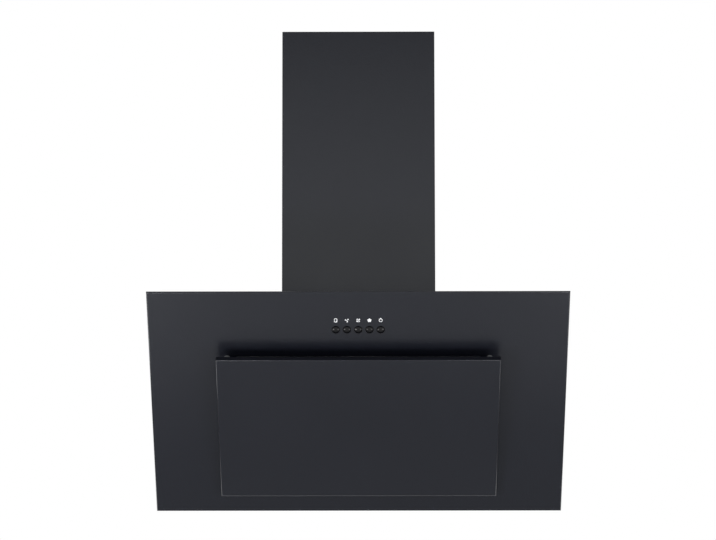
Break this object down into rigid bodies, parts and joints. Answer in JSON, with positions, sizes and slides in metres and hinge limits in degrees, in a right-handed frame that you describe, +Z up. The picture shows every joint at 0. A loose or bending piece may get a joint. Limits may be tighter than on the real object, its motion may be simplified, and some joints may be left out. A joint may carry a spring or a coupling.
{
  "type": "chimney range hood",
  "caption": "Wall chimney range hood with a forward-leaning face, hinged flap over a grease filter, push buttons, blower, damper and telescoping chimney.",
  "frame": {"origin": "centre of the four wall-screw holes, in the rear plane of the back plate, which is the wall", "axes": "+X to the right seen from the front, +Y into the wall, +Z up along the chimney"},
  "size_m": [0.6, 0.3485, 0.715],
  "materials": {
    "powder_coat": "satin black powder coat",
    "zinc_steel": "zinc-coated sheet steel",
    "filter_aluminium": "mill-finish aluminium frame",
    "filter_mesh": "expanded aluminium mesh",
    "button_gloss": "polished black plastic",
    "black_plastic": "moulded black plastic",
    "grey_plastic": "moulded grey plastic",
    "white_plastic": "moulded white plastic",
    "lamp_bezel": "satin black lamp ring",
    "lens": "frosted lamp lens",
    "circuit_board": "white circuit board",
    "screw_steel": "zinc-plated steel",
    "black_screw": "blackened steel",
    "spring_steel": "spring wire",
    "laminations": "stacked electrical steel",
    "bronze": "sintered bronze",
    "rubber": "moulded rubber"
  },
  "bodies": {
    "hood": {"front_panel": "powder_coat", "back_plate": "zinc_steel", "top_plate": "powder_coat", "underside_plate": "powder_coat", "right_side_panel": "powder_coat", "left_side_panel": "powder_coat", "body_screws": "black_screw", "filter_tray": "powder_coat", "filter_frame": "filter_aluminium", "filter_mesh": "filter_mesh", "latch_spring": "spring_steel", "hinge_rivets": "screw_steel", "switch_block": "grey_plastic", "button_springs": "spring_steel", "led_boards": "circuit_board", "led_driver": "white_plastic", "blower_scroll": "zinc_steel", "blower_side_left": "zinc_steel", "blower_side_right": "zinc_steel", "blower_screws": "screw_steel", "motor_housing": "zinc_steel", "motor_stator": "laminations", "motor_bearings": "bronze", "motor_bracket": "zinc_steel", "rubber_mounts": "rubber", "capacitor": "white_plastic", "capacitor_clip": "zinc_steel", "terminal_box": "white_plastic", "cable_gland": "black_plastic", "outlet_spigot": "black_plastic", "damper_pins": "screw_steel", "lower_chimney": "powder_coat", "foot_brackets": "zinc_steel", "foot_screws": "black_screw", "hinge_bracket_left": "powder_coat", "catch_post_left": "grey_plastic", "lamp_housing_left": "lamp_bezel", "lamp_lens_left": "lens", "hinge_bracket_right": "powder_coat", "catch_post_right": "grey_plastic", "lamp_housing_right": "lamp_bezel", "lamp_lens_right": "lens"},
    "flap": {"flap_panel": "powder_coat", "flap_backing": "powder_coat", "hinge_leaf_left": "zinc_steel", "hinge_leaf_right": "zinc_steel", "hinge_pins": "screw_steel", "catch_strikes": "screw_steel"},
    "filter_latch": {"filter_latch": "black_plastic"},
    "impeller": {"impeller": "black_plastic", "motor_rotor": "laminations"},
    "damper_left": {"damper_left": "grey_plastic"},
    "damper_right": {"damper_right": "grey_plastic"},
    "upper_chimney": {"upper_chimney": "powder_coat", "upper_bracket": "zinc_steel"},
    "button_off": {"button_off": "button_gloss"},
    "button_low": {"button_low": "button_gloss"},
    "button_medium": {"button_medium": "button_gloss"},
    "button_high": {"button_high": "button_gloss"},
    "button_light": {"button_light": "button_gloss"}
  },
  "joints": [
    {"name": "flap_hinge", "type": "hinge", "parent": "hood", "child": "flap", "pos_m": [0, -0.19249, -0.17659], "axis": [1, 0, 0], "range_deg": [0, 80]},
    {"name": "latch_slide", "type": "slide", "parent": "hood", "child": "filter_latch", "axis": [0, 0.5, -0.866], "range_m": [0, 0.006], "stiffness_N_per_m": 300, "springref_m": -0.004, "deforming": ["latch_spring"]},
    {"name": "chimney_slide", "type": "slide", "parent": "hood", "child": "upper_chimney", "axis": [0, 0, 1], "range_m": [0, 0.3]},
    {"name": "damper_left_hinge", "type": "hinge", "parent": "hood", "child": "damper_left", "pos_m": [-0.006, -0.095, 0.121], "axis": [0, 1, 0], "range_deg": [0, 80]},
    {"name": "damper_right_hinge", "type": "hinge", "parent": "hood", "child": "damper_right", "pos_m": [0.006, -0.095, 0.121], "axis": [0, -1, 0], "range_deg": [0, 80]},
    {"name": "impeller_spin", "type": "hinge", "parent": "hood", "child": "impeller", "pos_m": [0, -0.15, -0.015], "axis": [1, 0, 0], "continuous": true},
    {"name": "button_off_press", "type": "slide", "parent": "hood", "child": "button_off", "axis": [0, 0.866, 0.5], "range_m": [0, 0.003], "stiffness_N_per_m": 400, "springref_m": -0.002, "deforming": ["button_springs"]},
    {"name": "button_low_press", "type": "slide", "parent": "hood", "child": "button_low", "axis": [0, 0.866, 0.5], "range_m": [0, 0.003], "stiffness_N_per_m": 400, "springref_m": -0.002, "deforming": ["button_springs"]},
    {"name": "button_medium_press", "type": "slide", "parent": "hood", "child": "button_medium", "axis": [0, 0.866, 0.5], "range_m": [0, 0.003], "stiffness_N_per_m": 400, "springref_m": -0.002, "deforming": ["button_springs"]},
    {"name": "button_high_press", "type": "slide", "parent": "hood", "child": "button_high", "axis": [0, 0.866, 0.5], "range_m": [0, 0.003], "stiffness_N_per_m": 400, "springref_m": -0.002, "deforming": ["button_springs"]},
    {"name": "button_light_press", "type": "slide", "parent": "hood", "child": "button_light", "axis": [0, 0.866, 0.5], "range_m": [0, 0.003], "stiffness_N_per_m": 400, "springref_m": -0.002, "deforming": ["button_springs"]}
  ]
}
